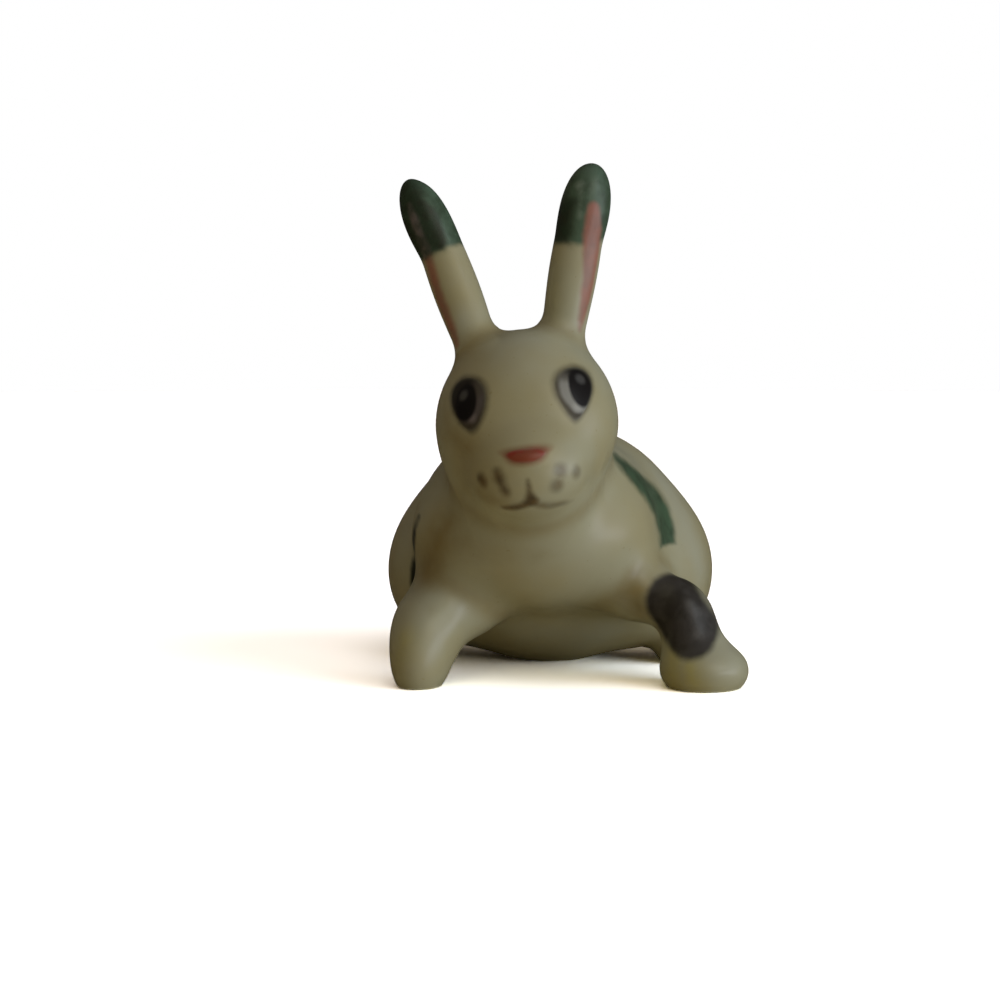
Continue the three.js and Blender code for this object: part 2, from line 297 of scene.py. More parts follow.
def ball_ways(fineness, middle, spine):
    """Starts along a spine and ways out from it, and the faces that join them."""
    ball = bmesh.new()
    bmesh.ops.create_icosphere(ball, subdivisions=fineness, radius=1)
    ways = np.array([v.co for v in ball.verts])
    faces = [[v.index for v in f.verts] for f in ball.faces]
    ball.free()
    ways /= np.linalg.norm(ways, axis=1)[:, None]
    spine = np.array(spine, float)
    axis = spine / max(np.linalg.norm(spine), 1e-9)
    return np.array(middle, float) + (ways @ axis)[:, None] * spine, ways, faces


def clay_piece(node):
    """A piece of the clay surface, shaded as one with its neighbours, and its points."""
    middle, spine, fineness = skins[node]
    scouts = drawn_out(forms[node], *ball_ways(SCOUT_FINENESS, middle, spine)[:2])
    nearby = [name for name in ORDER if forms[name](scouts).min() < FAR_OFF]
    starts, ways, faces = ball_ways(fineness, middle, spine)
    points = drawn_out(share_of(node, nearby), starts, ways)
    piece = new_piece(f"glazed_{node}", points, faces)
    normals = normals_of(lambda p: whole({name: forms[name](p) for name in nearby}, p), points)
    piece.data.normals_split_custom_set_from_vertices(normals.tolist())
    keep_on(piece, "joint", joint_gap(points, nearby))
    return piece, points


def joint_gap(points, nearby):
    """Distance from the nearest joint; the haunches run out on the body without one."""
    trunk = [name for name in nearby if name == "torso" or name.startswith("haunch")]
    limbs = [forms[name](points) for name in nearby if name not in trunk]
    if trunk:
        limbs.append(np.min([forms[name](points) for name in trunk], axis=0))
    nearest = np.sort(limbs, axis=0)
    return nearest[1] - nearest[0] if len(nearest) > 1 else np.full(len(points), FAR_OFF)


# Painted marks: each is kept as the distance in millimetres outside the brush mark. A mark whose half
# width is below zero is only a breath of its paint.
def stroke(p, stops, squeeze=(1, 1, 1)):
    """Distance outside a stroke through stops of x, y, z and half width."""
    stops = np.array(stops, float) * (*squeeze, 1)
    p = p * squeeze
    gap = np.full(len(p), np.inf)
    for start, end in zip(stops[:-1], stops[1:]):
        leg = end - start
        share = np.clip((p - start[:3]) @ leg[:3] / (leg[:3] @ leg[:3]), 0, 1)
        centre = start + share[:, None] * leg
        gap = np.minimum(gap, np.linalg.norm(p - centre[:, :3], axis=1) - centre[:, 3])
    return gap


def nearest_stroke(p, strokes):
    """Distance outside the nearest of a few strokes."""
    return np.min([stroke(p, stops) for stops in strokes], axis=0)


def spots(p, stops):
    """Distance outside a few round spots of x, y, z and radius."""
    return np.min([np.linalg.norm(p - np.array(s[:3]), axis=1) - s[3] for s in stops], axis=0)


def rounded_block(p, at, size, corner, turn):
    """Distance outside a block with rounded edges."""
    out = np.abs((p - at) @ turned(*turn)) - (np.array(size) / 2 - corner)
    return np.linalg.norm(np.maximum(out, 0), axis=1) + np.minimum(out.max(axis=1), 0) - corner


# The stripes were brushed along the flanks, so they are wide along the body and narrow across it
FLANK_SQUEEZE = (1, 0.15, 1)
STRIPE_LEFT = [
    (4.83, -6.19, 13.22, 0.12), (5.71, -5.86, 12.32, 0.26), (6.27, -5.09, 11.68, 0.36),
    (6.72, -3.67, 10.97, 0.4), (7.03, -3.04, 10.32, 0.42), (7.31, -2.59, 9.69, 0.42),
    (7.72, -2.66, 8.49, 0.42), (7.86, -3, 7.3, 0.42),
]
STRIPE_LEFT_END = 7.65  # the brush was lifted off level at this height
# The right stripe is near black: partly stripe paint, partly painted shade in the chest's crease
STRIPE_AND_SHADE_RIGHT = [
    (-6.5, -7.7, 9.6, 0.08), (-6.8, -7.4, 8.6, 0.16), (-7.1, -6, 7.3, 0.28),
    (-7.3, -5, 6, 0.5), (-7.35, -4.6, 5, 0.56),
]
PATCH = dict(at=(9.06, -9.6, 4.22), size=(3.2, 6.6, 5), corner=1.58, turn=(0, -35, 0))

# Brown painted shade: in the left shoulder's crease, where the glaze also ran brown, on the chest's
# shaded side and the right front paw, and in the head's frame on the shaded right cheek and under the
# chin
TAN = [(6.1, -8.2, 6.3, 0.5), (6.45, -8.5, 5.5, 0.85), (6.6, -8.6, 4.6, 0.6)]
CHEST_PAINTED_SHADES = [
    [(-4.1, -10.5, 9.8, 0.2), (-4.86, -10.18, 8.47, 0.9), (-5.61, -8.99, 6.61, 0.9)],
    [(-4.86, -10.18, 8.47, 0.5), (1.11, -11.57, 7.9, -0.35), (2.5, -11.3, 7.9, -0.9)],
    [(-5.24, -11.17, 4.53, -0.4), (-5.3, -11, 4.2, -0.5)],
]
CHEEK_PAINTED_SHADE = [(-4.6, -2.5, 1.5, 0.1), (-4.3, -3, -0.1, 0.4), (-3.12, -4.37, -1.34, 0.4)]
CHIN_PAINTED_SHADE = [(-2.6, -4.8, -3.7, 0.2), (-2.1, -5.2, -4.2, 0.4), (-1.3, -5.4, -4.3, 0.1)]

# Lighter yellow on the front feet: partly the glaze's own tone, partly painted light on the paw's top
# and the foot's shaded side
PAW_YELLOW = [(-6.58, -11.97, 2.86, 0.4), (-6.9, -11.9, 1.2, 0.3)]
FOOT_YELLOWS = [
    [(8.5, -10.2, 2.0, 0.5), (8.75, -10.3, 0.6, 0.7)],
    [(9.6, -10.9, 2.2, 0.3), (9.8, -11.1, 0.8, 0.5)],
]

# Painted light, a paler ivory: on the body's lit left flank, the belly and the right shoulder, on the
# left front foot's top, in the head's frame on the crown, and in the right ear's frame at its shaded
# root
BODY_PAINTED_LIGHT = [
    [(7.36, 0.65, 10.92, 1.2), (8.98, -0.58, 7.74, 1.3), (9.59, -0.35, 5.87, 1)],
    [(0.3, -4.53, 2.56, 0.7), (3.78, -3.4, 2.45, 1.3)],
    [(-5.07, -8.75, 11.27, 0.6), (-5.71, -8.44, 10.61, 0.7), (-6.3, -7.5, 9.3, 0.1)],
]
FOOT_PAINTED_LIGHT = [(11.58, -9.29, 2.8, 0.6), (12.2, -10.52, 1.22, 0.3)]
CROWN_PAINTED_LIGHT = [(-1, -2, 4.5, 0.4), (0.17, -2.03, 4.69, 0.6), (1.2, -2, 4.5, 0.4)]
ROOT_PAINTED_LIGHT = [(-0.24, -1.06, -0.14, 0.6), (-1.1, -0.51, -1.08, 0.8)]

# Ears' green tips with a painted highlight and painted shade, and the pink streaks, in each ear's frame
TIP_FROM = (3.6, 4.1)
TIP_RISES = (1.0, 1.6)  # where across the left ear its tip's lower edge starts to rise, and how fast
# The tips' painted shade lies on the side of each ear away from the light
TIP_DARK = (-0.5, -0.15)  # darker inward of this on the left ear, and outward of this on the right
TIP_DARK_UP_TO = 6.1  # the left ear's tip is lighter again above this
STREAK_LEFT = [
    (0.6, -1.1, 5.8, 0.36), (0.84, -1.0, 4.51, 0.6), (0.97, -0.9, 3.37, 0.6),
    (1.08, -0.85, 1.64, 0.45), (1.1, -0.8, 0.02, 0.38), (1.05, -0.8, -1.1, 0.2),
]
# Painted highlight near the left ear's tip, running down as a lighter green streak
PAINTED_HIGHLIGHT_LEFT = [(-0.39, -1.05, 6.99, 0.28), (-0.2, -1.1, 6.3, 0), (-0.1, -1.15, 5.2, 0.08)]
# Olive painted shade on the left ear's inward side, down to its root
INNER_SHADE_LEFT = [(-0.8, -0.9, 2.6, 0.1), (-0.8, -0.95, 1, 0.4), (-0.6, -1, -1.2, 0.5)]
STREAK_RIGHT = [
    (-0.78, -1.0, 7.2, 0.16), (-0.85, -1.1, 6.2, 0.3), (-0.9, -1.01, 4.6, 0.36),
    (-1.08, -0.93, 2.9, 0.4), (-1.16, -0.89, 1.4, 0.42), (-1.14, -0.79, -0.1, 0.4),
    (-1.14, -0.71, -1.2, 0.26),
]
# Painted shade in the groove beside the right ear's pink streak
FOLD_SHADE_RIGHT = [
    (-0.4, -0.92, 7.66, 0.18), (-0.15, -1.12, 6.9, 0.36), (0.08, -1.18, 6.2, 0.5),
    (0.1, -1.17, 5.2, 0.48), (0.12, -1.12, 4.5, 0.38),
]

# Freckles and mouth, in the head's frame
FACE_FROM = -1  # the face is ahead of this, and paint on it doesn't show through on the nape
BEHIND = 9
FRECKLE_SPOT = [(-2.56, -5.3, -3.0, 0.29), (-2.5, -5.38, -3.15, 0.29)]
FRECKLE_BRUSHED = [
    (-1.64, -6.04, -2.7, 0.24), (-1.6, -6.04, -3, 0.33), (-1.45, -6.02, -3.4, 0.24),
    (-1.25, -5.98, -3.8, 0.24),
]
FRECKLES_LEFT = [(1.88, -5.85, -2.95, 0.4), (2.7, -5.18, -3.12, 0.34), (1.56, -5.8, -3.75, 0.4)]
MOUTH = [
    [(0.02, -6.3, -3.3, 0.04), (0.04, -6.15, -3.93, 0.16), (0.09, -5.83, -4.42, 0.36)],
    [(0.09, -5.83, -4.5, 0.36), (-0.4, -5.65, -4.7, 0.24), (-0.86, -5.5, -4.74, 0.21),
     (-1.5, -5.25, -4.7, 0.12)],
]
MOUTH_PALE = [
    (0.2, -5.8, -4.6, 0.24), (0.49, -5.56, -4.74, 0.27), (1.11, -5.22, -4.84, 0.27),
    (1.72, -4.79, -4.78, 0.2), (2.2, -3.9, -4.65, 0.05),
]

# Eyes and nose: raised dabs of enamel on the face, each with marks in its own flat coordinates
EYE = dict(width=2.6, height=3.5, taper=0.55, slant=0.28, blunt=2)
EYES = {"left": dict(EYE, taper=0.5), "right": dict(EYE, width=2.68, taper=0.36)}
EYE_AT = (2.92, -3.5, 1.25)
EYE_FACING = 36
# In each eye the glint is a painted highlight on the pupil, and the gleam a painted highlight low in the
# white
EYE_MARKS = {
    "left": {
        "white": dict(at=(-0.05, 0.1), radii=(0.86, 1.18), lean=-0.05),
        "pupil": dict(at=(0.42, 0.3), radii=(0.78, 1.14), lean=0.11),
        "glint": dict(at=(0.57, 0.79), radii=(0.3, 0.28), lean=0),
        "gleam": dict(at=(-0.18, -0.8), radii=(0.26, 0.24), lean=0),
        "smoke": dict(at=(-0.34, 1.1), radii=(0.36, 0.34), lean=0.3),
    },
    "right": {
        "white": dict(at=(-0.2, 0.05), radii=(0.8, 1.15), lean=0),
        "pupil": dict(at=(0.12, 0.12), radii=(0.74, 1.08), lean=0.08),
        "glint": dict(at=(0.32, 0.53), radii=(0.28, 0.28), lean=0),
        "gleam": dict(at=(-0.42, -0.8), radii=(0.24, 0.24), lean=0),
        "smoke": dict(at=(-0.5, 0.8), radii=(0.36, 0.4), lean=0.3),
    },
}
LASH_FROM = (0.05, 0.85)
LASH_SLOPE = (0.8, 0.6)
NOSE = dict(width=2.5, height=0.95, taper=0.3, slant=0, blunt=2.8)
NOSE_AT = (0.04, -5.75, -1.95)
DOME = 0.1  # height of a dab over the face
RIM_SINK = 0.04  # how deep its rim lies under the face
DOME_POWER = 0.7
SEEN = math.sqrt(1 - (RIM_SINK / DOME) ** (1 / DOME_POWER))  # share of a dab that stands proud
EYE_SOFT = 0.3
NOSE_SOFT = 0.28
# How far a dab's paint goes out on the clay
PAINT_OVER = {"eye_enamel_left": 0.09, "eye_enamel_right": 0.12, "nose_enamel": 0.08}
DAB_START = 3  # how far behind the face the search for it starts
DAB_DEPTH = 0.3
DAB_RINGS = 36
DAB_SPOKES = 120
ANGLE_ROUNDS = 6  # rounds that settle the angle of a point in a dab's outline


def outline(shape, angle, share=1.0):
    """Point of a dab's outline, wider at the top than at the foot and leaning outward."""
    y = shape["height"] / 2 * np.sin(angle)
    x = shape["width"] / 2 * np.cos(angle) * (1 + shape["taper"] * np.sin(angle))
    return (x + shape["slant"] * y) * share, y * share


def dab_axes(at, facing):
    """A dab's middle and its directions across, up and out of the face, in the head's frame."""
    turn = math.radians(facing)
    across = np.array((math.cos(turn), math.sin(turn), 0))
    outward = np.array((math.sin(turn), -math.cos(turn), 0))
    return np.array(at, float), across, np.array((0, 0, 1.0)), outward


def eye_axes(side):
    return dab_axes(np.array(EYE_AT) * (side, 1, 1), side * EYE_FACING)


def oval_gap(x, y, at, radii, lean):
    """Distance in millimetres outside an oval that leans outward with height."""
    dy = y - at[1]
    reach = np.hypot((x - at[0] - lean * dy) / radii[0], dy / radii[1])
    return (reach - 1) * min(radii)


def round_dab(p, shape, axes, side):
    """Distance in millimetres outside a dab's visible edge, as seen from in front of it."""
    at, across, up, _ = axes
    q = to_head(p) - at
    x, y = q @ across * side, q @ up
    half_width, half_height = shape["width"] / 2, shape["height"] / 2
    u, v = (x - shape["slant"] * y) / half_width, y / half_height
    angle = np.arctan2(v, u)
    for _ in range(ANGLE_ROUNDS):
        widened = 1 + shape["taper"] * np.sin(angle)
        angle = np.arctan2(v, u / widened)
    blunt = shape["blunt"]
    share = (np.abs(u / widened) ** blunt + np.abs(v) ** blunt) ** (1 / blunt)
    return (share - SEEN) / np.hypot(np.cos(angle) / half_width, np.sin(angle) / half_height)


def painted_past(node, gap):
    """The same distance from a dab's painted edge, which lies a little outside the dab."""
    return gap - PAINT_OVER[node]


def dab_piece(node, shape, axes, side):
    """A lens over the face, closed below, and its points' flat coordinates."""
    at, across, up, outward = axes
    angles = np.arange(DAB_SPOKES) * 2 * math.pi / DAB_SPOKES
    shares = np.linspace(1, 0, DAB_RINGS, endpoint=False)
    flat = [np.stack(outline(shape, angles, share), 1) for share in shares]
    flat.append(np.zeros((1, 2)))
    height = [np.full(DAB_SPOKES, DOME * (1 - share**2) ** DOME_POWER - RIM_SINK) for share in shares]
    height.append(np.array([DOME - RIM_SINK]))
    flat, height = np.concatenate(flat), np.concatenate(height)
    starts = from_head(at + side * flat[:, :1] * across + flat[:, 1:] * up - DAB_START * outward)
    ways = np.broadcast_to(head_matrix @ outward, starts.shape)
    seat = drawn_out(forms["head"], starts, ways, step=0.1)
    top = seat + ways * height[:, None]
    count = len(top)
    low = seat - ways * DAB_DEPTH
    points = np.concatenate((top, low))
    faces = []
    for ring in range(DAB_RINGS):
        for spoke in range(DAB_SPOKES):
            after = (spoke + 1) % DAB_SPOKES
            a, b = ring * DAB_SPOKES + spoke, ring * DAB_SPOKES + after
            if ring < DAB_RINGS - 1:
                face = [a, b, b + DAB_SPOKES, a + DAB_SPOKES]
            else:
                face = [a, b, DAB_RINGS * DAB_SPOKES]
            faces.append(face)
            faces.append([count + i for i in reversed(face)])
    for spoke in range(DAB_SPOKES):
        after = (spoke + 1) % DAB_SPOKES
        faces.append([after, spoke, count + spoke, count + after])
    piece = new_piece(f"painted_{node}", points, faces)
    keep_on(piece, "rim", np.tile(painted_past(node, round_dab(top, shape, axes, side)), 2))
    return piece, flat


NOISE_SWING = 4  # a noise stays within about a quarter of its range from the middle
SHADE_NOISE = (0.62, 0.35)  # where a colour starts to run darker, and where it is darkest

# The fired glaze: its roughness from and to, the size of its patches, and its broad and fine waves
GLAZE_ROUGH = (0.3, 0.39)
PATCHY_PER_MM = 0.5
BROAD_BUMP = dict(per_mm=0.22, detail=1.0, strength=0.35, height=0.12)
FINE_BUMP = dict(per_mm=2.6, detail=2.0, strength=0.25, height=0.012)


class Recipe:
    """A material's node tree, built a node at a time."""

    def __init__(self, name):
        self.material = bpy.data.materials.new(name)
        self.material.use_nodes = True
        self.tree = self.material.node_tree
        self.shader = self.tree.nodes["Principled BSDF"]

    def node(self, kind, inputs=(), **settings):
        made = self.tree.nodes.new(kind)
        for key, value in settings.items():
            setattr(made, key, value)
        for key, value in dict(inputs).items():
            self.feed(made.inputs[key], value)
        return made

    def feed(self, socket, value):
        if isinstance(value, bpy.types.NodeSocket):
            self.tree.links.new(value, socket)
        else:
            socket.default_value = value

    def math(self, operation, a, b=0.0, clamp=False):
        made = self.node("ShaderNodeMath", {0: a, 1: b}, operation=operation, use_clamp=clamp)
        return made.outputs[0]

    def kept(self, name):
        return self.node("ShaderNodeAttribute", attribute_name=name).outputs["Fac"]

    def noise(self, per_mm, detail=2.0, stretch=(1, 1, 1)):
        place = self.node("ShaderNodeTexCoord").outputs["Object"]
        if stretch != (1, 1, 1):
            place = self.node("ShaderNodeMapping", {"Vector": place, "Scale": stretch}).outputs[0]
        inputs = {"Vector": place, "Scale": per_mm / MM, "Detail": detail}
        return self.node("ShaderNodeTexNoise", inputs).outputs["Fac"]

    def ramp(self, value, start, end, low=0.0, high=1.0):
        inputs = {"Value": value, "From Min": start, "From Max": end, "To Min": low, "To Max": high}
        made = self.node("ShaderNodeMapRange", inputs, interpolation_type="SMOOTHSTEP")
        return made.outputs["Result"]

    def mix(self, cover, under, over):
        made = self.node("ShaderNodeMix", data_type="RGBA")
        for key, value in ((0, cover), (6, under), (7, over)):
            self.feed(made.inputs[key], value)
        return made.outputs[2]

    def shade(self, color, dark, noise, amount):
        """The colour, running to a darker one where the noise is low."""
        return self.mix(self.ramp(noise, *SHADE_NOISE, 0.0, amount), color, dark)

    def brushed(self, under, gap, paint, soft, wobble=0.0, strength=1.0, wobble_per_mm=1.2):
        """Paint over the colour below, inside the mark, with a soft and uneven edge."""
        if wobble:
            drift = self.math("SUBTRACT", self.noise(wobble_per_mm), 0.5)
            gap = self.math("ADD", gap, self.math("MULTIPLY", drift, NOISE_SWING * wobble))
        return self.mix(self.ramp(gap, soft, -soft, 0.0, strength), under, paint)

    def soft_edged(self, color, soft):
        """Enamel that thins out at its edge, where the clay's own paint goes on."""
        return self.mix(self.ramp(self.kept("rim"), -soft, soft), color, IVORY)

    def bump(self, per_mm, detail, strength, height, **inputs):
        """Normal of small waves in the glaze."""
        waves = self.noise(per_mm, detail)
        inputs.update({"Height": waves, "Strength": strength, "Distance": height * MM})
        return self.node("ShaderNodeBump", inputs).outputs[0]

    def glazed(self, color):
        """Gloss and the hand-made unevenness of a fired glaze."""
        self.feed(self.shader.inputs["Base Color"], color)
        patchy = self.ramp(self.noise(PATCHY_PER_MM, 3.0), 0.3, 0.7, *GLAZE_ROUGH)
        self.feed(self.shader.inputs["Roughness"], patchy)
        fine = self.bump(**FINE_BUMP, Normal=self.bump(**BROAD_BUMP))
        self.feed(self.shader.inputs["Normal"], fine)
        return self.material


def color(red, green, blue):
    return (red, green, blue, 1.0)


IVORY = color(0.45, 0.44, 0.31)
IVORY_WARM = color(0.43, 0.385, 0.22)
HONEY = color(0.26, 0.18, 0.05)
OLIVE_HONEY = color(0.22, 0.185, 0.065)
FOOT_YELLOW = color(0.52, 0.47, 0.17)
TAN_BROWN = color(0.22, 0.165, 0.055)
OLIVE_PALE = color(0.45, 0.41, 0.18)
PALE = color(0.47, 0.47, 0.36)
GREEN = color(0.085, 0.145, 0.1)
GREEN_DARK = color(0.03, 0.055, 0.032)
# Near-black green of the ears' painted shade
PAINTED_SHADE_DARK = color(0.025, 0.028, 0.016)
# Green of the painted highlight on the left ear
HIGHLIGHT_GREEN = color(0.26, 0.32, 0.27)
TIP_GREY = color(0.2, 0.16, 0.17)
STRIPE_GREEN = color(0.06, 0.12, 0.07)
# Near black: partly stripe paint, partly painted shade
STRIPE_SHADE_DARK = color(0.02, 0.026, 0.012)
PINK = color(0.39, 0.155, 0.115)
PINK_GREY = color(0.29, 0.15, 0.12)
CHARCOAL = color(0.03, 0.026, 0.024)
CHARCOAL_PALE = color(0.065, 0.06, 0.06)
INK = color(0.05, 0.036, 0.02)
OLIVE = color(0.15, 0.092, 0.03)
SMUDGE = color(0.22, 0.2, 0.14)
NOSE_RED = color(0.3, 0.04, 0.023)
NOSE_BROWN = color(0.22, 0.1, 0.045)
PUPIL = color(0.012, 0.01, 0.01)
LASH = color(0.03, 0.026, 0.022)
EYE_WHITE = color(0.3, 0.3, 0.28)
# Painted highlight in the left eye's white
EYE_WHITE_HIGHLIGHT = color(0.44, 0.44, 0.42)
# The right eye's white and its highlight, painted darker, partly as painted shade
SHADED_EYE_WHITE = color(0.1, 0.085, 0.08)
SHADED_EYE_HIGHLIGHT = color(0.2, 0.17, 0.17)
EYE_RIM = color(0.08, 0.07, 0.05)
# Painted highlight on the pupils
PAINTED_GLINT = color(0.1, 0.1, 0.1)

# Unevenness of glaze and paint: how many waves there are in a millimetre, and how strong it is
WARM_PER_MM, WARM_AMOUNT = 0.16, 0.8
SPECK_PER_MM, SPECK_AMOUNT = 5.0, 0.25
PAINT_PER_MM, PAINT_UNEVEN = 0.9, 0.7
# Honey in the joints is glaze pooling and also painted shade in the creases
POOL_AND_SHADE_REACH, POOL_AND_SHADE_AMOUNT = 1.4, 0.35  # how far honey-coloured glaze runs out of a joint, and how strong
GLAZE_SHINE = 0.5
DULL_SHINE = 0.3


def ivory_glaze(name, layers=(), shine=GLAZE_SHINE):
    """Ivory glaze that runs honey-coloured into the joints, with painted shade there, under the painted
    marks.

    A layer is a mark, its paint, the paint's darker tone, and how soft, uneven and strong it is.
    """
    recipe = Recipe(name)
    base = recipe.shade(IVORY, IVORY_WARM, recipe.noise(WARM_PER_MM, 3.0), WARM_AMOUNT)
    specks = recipe.ramp(recipe.noise(SPECK_PER_MM, 0.0), 0.8, 0.86, 0.0, SPECK_AMOUNT)
    base = recipe.mix(specks, base, HONEY)
    # Darker honey towards the joints: glaze pooling, and painted crease shade
    pooled_and_shaded = recipe.ramp(recipe.kept("joint"), POOL_AND_SHADE_REACH, 0.0, 0.0, POOL_AND_SHADE_AMOUNT)
    pooled_and_shaded = recipe.math("MULTIPLY", pooled_and_shaded, recipe.ramp(recipe.noise(0.5), 0.2, 0.7, 0.5, 1.0))
    base = recipe.mix(pooled_and_shaded, base, HONEY)
    for mark, paint, dark, soft, wobble, strength in layers:
        tint = recipe.shade(paint, dark, recipe.noise(PAINT_PER_MM, 3.0), PAINT_UNEVEN)
        base = recipe.brushed(base, recipe.kept(mark), tint, soft, wobble, strength)
    recipe.shader.inputs["Specular IOR Level"].default_value = shine
    return recipe.glazed(base)


def eye_enamel(name, white, gleam):
    """Black pupil with a painted highlight, a smoky white on the inner side with its own painted
    highlight, and a dark lash line.
    """
    recipe = Recipe(name)
    base = recipe.shade(EYE_RIM, INK, recipe.noise(1.5, 2.0), 0.6)
    base = recipe.brushed(base, recipe.kept("white"), white, 0.16, 0.03)
    # painted highlight low in the white
    base = recipe.brushed(base, recipe.kept("gleam"), gleam, 0.2, 0.03, 0.8)
    base = recipe.brushed(base, recipe.kept("smoke"), EYE_RIM, 0.25, 0.05, 0.7)
    base = recipe.brushed(base, recipe.kept("lash"), LASH, 0.4, 0.05, 0.95)
    base = recipe.brushed(base, recipe.kept("pupil"), PUPIL, 0.12, 0.015)
    # painted highlight on the pupil
    base = recipe.brushed(base, recipe.kept("glint"), PAINTED_GLINT, 0.16, 0.02, 0.75)
    recipe.shader.inputs["Specular IOR Level"].default_value = DULL_SHINE
    return recipe.glazed(recipe.soft_edged(base, EYE_SOFT))


def nose_enamel():
    recipe = Recipe("nose_enamel")
    red = recipe.shade(NOSE_RED, NOSE_BROWN, recipe.noise(1.2, 2.0), 0.4)
    edge = recipe.ramp(recipe.kept("rim"), -0.25, 0.1, 0.0, 0.6)
    red = recipe.mix(edge, red, NOSE_BROWN)
    return recipe.glazed(recipe.soft_edged(red, NOSE_SOFT))


plain_glaze = ivory_glaze("ivory_glaze")
# Painted light: a paler ivory laid over the glaze
PAINTED_LIGHT_LAYER = ("pale", PALE, PALE, 1.5, 0.3, 0.85)
# Brown painted shade on the chest's shaded side and the right front paw
CHEST_PAINTED_SHADE_LAYER = ("chest_painted_shade", HONEY, HONEY, 1.3, 0.2, 0.75)
body_glaze = ivory_glaze("body_glaze", [
    PAINTED_LIGHT_LAYER,
    CHEST_PAINTED_SHADE_LAYER,
    ("stripe", STRIPE_GREEN, GREEN_DARK, 0.18, 0.04, 0.95),
    # near-black stripe, partly painted shade
    ("stripe_and_shade_right", STRIPE_SHADE_DARK, STRIPE_SHADE_DARK, 0.2, 0.08, 1.0),
    # Brown in the left shoulder's crease: glaze run brown, with painted shade
    ("tan", TAN_BROWN, HONEY, 0.8, 0.1, 0.85),
])
paw_glaze = ivory_glaze("paw_glaze", [
    CHEST_PAINTED_SHADE_LAYER,
    # lighter yellow on the paw's top, partly painted light
    ("paw_yellow", FOOT_YELLOW, OLIVE_PALE, 1.0, 0.1, 0.7),
])
head_glaze = ivory_glaze("head_glaze", [
    PAINTED_LIGHT_LAYER,
    # Brown painted shade on the shaded cheek and under the chin
    ("chin_painted_shade", HONEY, HONEY, 1.0, 0.2, 0.55),
    ("halo", EYE_RIM, INK, EYE_SOFT, 0.04, 1.0),
    ("nose_halo", NOSE_BROWN, NOSE_RED, NOSE_SOFT, 0.03, 1.0),
    ("freckle", OLIVE, INK, 0.32, 0.07, 0.9),
    ("pale_freckle", SMUDGE, OLIVE, 0.28, 0.05, 0.75),
    ("mouth", OLIVE, INK, 0.24, 0.04, 0.92),
])
left_ear_glaze = ivory_glaze("left_ear_glaze", [
    # olive painted shade on the inward side
    ("inner", OLIVE_PALE, OLIVE_HONEY, 0.5, 0.15, 0.25),
    ("tip", GREEN, GREEN_DARK, 0.25, 0.06, 0.97),
    # painted shade on the tip's inward side
    ("tip_painted_shade", PAINTED_SHADE_DARK, GREEN_DARK, 0.45, 0.08, 0.9),
    # painted highlight near the tip
    ("tip_painted_highlight", HIGHLIGHT_GREEN, GREEN, 0.25, 0.04, 0.7),
    ("streak", PINK, PINK_GREY, 0.2, 0.05, 0.92),
])
right_ear_glaze = ivory_glaze("right_ear_glaze", [
    # painted light at the root
    ("pale", PALE, PALE, 0.8, 0.1, 0.85),
    ("streak", PINK, PINK_GREY, 0.25, 0.05, 0.85),
    ("tip", GREEN, GREEN_DARK, 0.25, 0.06, 0.97),
    # painted shade on the tip's outer side
    ("tip_painted_shade", GREEN_DARK, PAINTED_SHADE_DARK, 0.5, 0.08, 0.8),
    ("tip_streak", TIP_GREY, GREEN_DARK, 0.18, 0.05, 0.7),
    # painted shade in the groove
    ("fold_shade", PAINTED_SHADE_DARK, GREEN_DARK, 0.24, 0.03, 0.9),
], DULL_SHINE)
foreleg_glaze = ivory_glaze("foreleg_glaze", [
    PAINTED_LIGHT_LAYER,
    # Brown in the shoulder's crease: glaze run brown, with painted shade
    ("tan", TAN_BROWN, HONEY, 0.8, 0.1, 0.85),
    # lighter yellow on the foot, partly painted light
    ("foot_yellow", FOOT_YELLOW, OLIVE_PALE, 0.9, 0.15, 0.8),
    ("patch", CHARCOAL, CHARCOAL_PALE, 0.27, 0.05, 0.98),
])


def mark_body(piece, p):
    left = np.maximum(stroke(p, STRIPE_LEFT, FLANK_SQUEEZE), STRIPE_LEFT_END - p[:, 2])
    keep_on(piece, "stripe", left)
    keep_on(piece, "stripe_and_shade_right", stroke(p, STRIPE_AND_SHADE_RIGHT, FLANK_SQUEEZE))
    keep_on(piece, "tan", stroke(p, TAN))
    keep_on(piece, "pale", nearest_stroke(p, BODY_PAINTED_LIGHT))
    keep_on(piece, "chest_painted_shade", nearest_stroke(p, CHEST_PAINTED_SHADES))


def mark_paw(piece, p):
    keep_on(piece, "chest_painted_shade", nearest_stroke(p, CHEST_PAINTED_SHADES))
    keep_on(piece, "paw_yellow", stroke(p, PAW_YELLOW))


def mark_head(piece, p):
    q = to_head(p)
    out_of_face = np.where(q[:, 1] < FACE_FROM, 0, BEHIND)
    halos = []
    for name, side in SIDES:
        eye_gap = round_dab(p, EYES[name], eye_axes(side), side)
        halos.append(painted_past(f"eye_enamel_{name}", eye_gap))
    keep_on(piece, "halo", np.min(halos, axis=0) + out_of_face)
    nose_gap = round_dab(p, NOSE, dab_axes(NOSE_AT, 0), 1)
    keep_on(piece, "nose_halo", painted_past("nose_enamel", nose_gap) + out_of_face)
    keep_on(piece, "freckle", nearest_stroke(q, (FRECKLE_SPOT, FRECKLE_BRUSHED)))
    keep_on(piece, "pale_freckle", np.minimum(spots(q, FRECKLES_LEFT), stroke(q, MOUTH_PALE)))
    keep_on(piece, "chin_painted_shade", nearest_stroke(q, (CHIN_PAINTED_SHADE, CHEEK_PAINTED_SHADE)))
    keep_on(piece, "pale", stroke(q, CROWN_PAINTED_LIGHT))
    keep_on(piece, "mouth", nearest_stroke(q, MOUTH))


